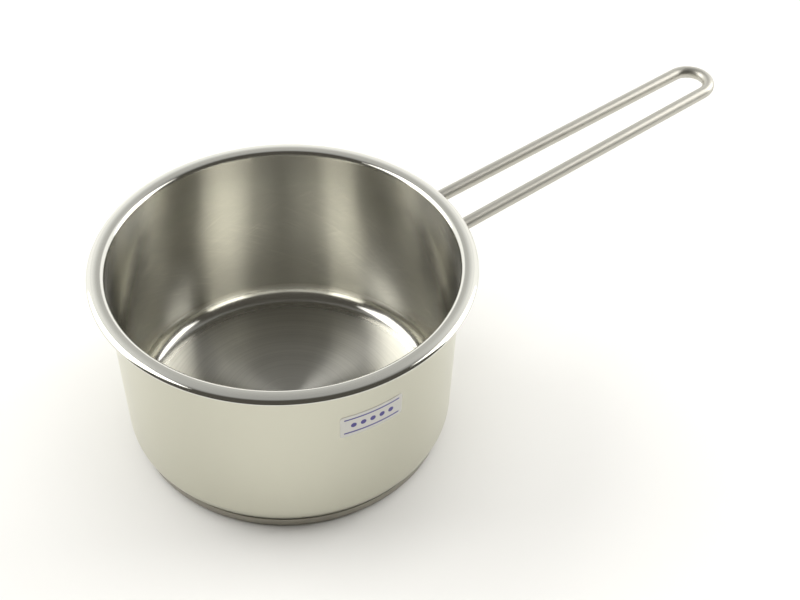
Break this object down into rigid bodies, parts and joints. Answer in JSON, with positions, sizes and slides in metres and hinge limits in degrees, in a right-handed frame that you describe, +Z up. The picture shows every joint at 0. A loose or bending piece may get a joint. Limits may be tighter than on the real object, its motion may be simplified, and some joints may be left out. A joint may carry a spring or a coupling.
{
  "type": "saucepan",
  "caption": "Round deep-drawn steel saucepan with a flared pouring rim, a thick bonded base and a long handle bent from one steel rod.",
  "frame": {"origin": "middle of the base's underside, on the pot's axis", "axes": "+Z up along the pot's axis, +X from the pot's axis along the handle"},
  "size_m": [0.3601, 0.1766, 0.0979],
  "materials": {
    "satin_steel": "satin, brushed round the pot, polished on the rim",
    "cap_steel": "fine turned",
    "rod_steel": "drawn and polished",
    "weld_steel": "as welded, brushed clean",
    "core_aluminium": "bare",
    "braze": "dull braze alloy",
    "label_film": "thin printed film"
  },
  "bodies": {
    "root": {"pot_body": "satin_steel", "braze_upper": "braze", "base_core": "core_aluminium", "braze_lower": "braze", "base_cap": "cap_steel", "handle_loop": "rod_steel", "weld_left": "weld_steel", "weld_right": "weld_steel", "wall_label": "label_film"}
  },
  "joints": []
}
